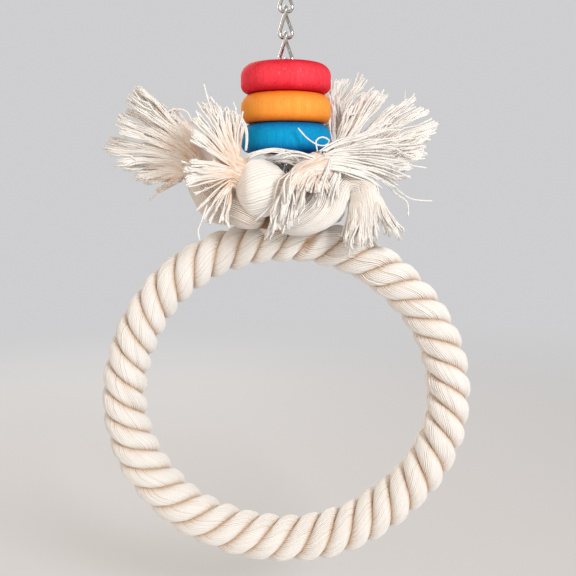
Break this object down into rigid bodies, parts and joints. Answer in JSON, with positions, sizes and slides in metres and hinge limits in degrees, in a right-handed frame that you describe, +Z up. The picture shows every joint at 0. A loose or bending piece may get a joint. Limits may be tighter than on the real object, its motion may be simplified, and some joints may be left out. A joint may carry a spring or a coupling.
{
  "type": "rope ring bird swing",
  "caption": "Cage swing: a thick laid cotton rope bent into a ring, its frayed strands knotted round a twisted-link chain under a stack of dyed wooden discs, hung from a quick link.",
  "frame": {"origin": "inside top of the quick link, where it bears on the cage bar", "axes": "+Z up along the chain, X across the ring, Y through the ring, -Y towards the viewer"},
  "size_m": [0.22, 0.1088, 0.3716],
  "materials": {
    "quick_link_steel": "zinc-plated, satin",
    "chain_nickel": "nickel-plated, bright",
    "red_wood": "dyed hardwood, smooth",
    "orange_wood": "dyed hardwood, smooth",
    "blue_wood": "dyed hardwood, smooth",
    "cotton_rope": "undyed laid cotton",
    "cotton_yarn": "undyed loose cotton yarn"
  },
  "bodies": {
    "hanger": {"quick_link_body": "quick_link_steel"},
    "nut": {"quick_link_nut": "quick_link_steel"},
    "first_link": {"chain_link_1": "chain_nickel"},
    "second_link": {"chain_link_2": "chain_nickel"},
    "third_link": {"chain_link_3": "chain_nickel"},
    "swing": {"chain_link_4": "chain_nickel", "chain_link_5": "chain_nickel", "chain_link_6": "chain_nickel", "chain_link_7": "chain_nickel", "chain_link_8": "chain_nickel", "chain_link_9": "chain_nickel", "anchor_ring": "chain_nickel", "rope_ring": "cotton_rope", "knot_strand_1": "cotton_rope", "knot_strand_2": "cotton_rope", "knot_strand_3": "cotton_rope", "knot_strand_4": "cotton_rope", "knot_strand_5": "cotton_rope", "knot_strand_6": "cotton_rope", "frayed_tail_1": "cotton_yarn", "frayed_tail_2": "cotton_yarn", "frayed_tail_3": "cotton_yarn", "frayed_tail_4": "cotton_yarn", "frayed_tail_5": "cotton_yarn", "frayed_tail_6": "cotton_yarn"},
    "red_disc": {"disc_red": "red_wood"},
    "orange_disc": {"disc_orange": "orange_wood"},
    "blue_disc": {"disc_blue": "blue_wood"}
  },
  "joints": [
    {"name": "nut_travel", "type": "slide", "parent": "hanger", "child": "nut", "axis": [0, 0, -1], "range_m": [0, 0.0069]},
    {"name": "hanger_swing", "type": "hinge", "parent": "hanger", "child": "first_link", "pos_m": [0, 0, -0.03175], "axis": [1, 0, 0], "range_deg": [-60, 60]},
    {"name": "side_swing", "type": "hinge", "parent": "first_link", "child": "second_link", "pos_m": [0, 0, -0.0428], "axis": [0, 1, 0], "range_deg": [-45, 45]},
    {"name": "fore_swing", "type": "hinge", "parent": "second_link", "child": "third_link", "pos_m": [0, 0, -0.0591], "axis": [1, 0, 0], "range_deg": [-40, 40]},
    {"name": "chain_turn", "type": "hinge", "parent": "third_link", "child": "swing", "pos_m": [0, 0, -0.0732], "axis": [0, 0, 1], "range_deg": [-35, 35]},
    {"name": "red_spin", "type": "hinge", "parent": "swing", "child": "red_disc", "pos_m": [0, 0, -0.0817], "axis": [0, 0, 1], "continuous": true},
    {"name": "orange_spin", "type": "hinge", "parent": "swing", "child": "orange_disc", "pos_m": [0, 0, -0.0981], "axis": [0, 0, 1], "continuous": true},
    {"name": "blue_spin", "type": "hinge", "parent": "swing", "child": "blue_disc", "pos_m": [0, 0, -0.1145], "axis": [0, 0, 1], "continuous": true}
  ]
}
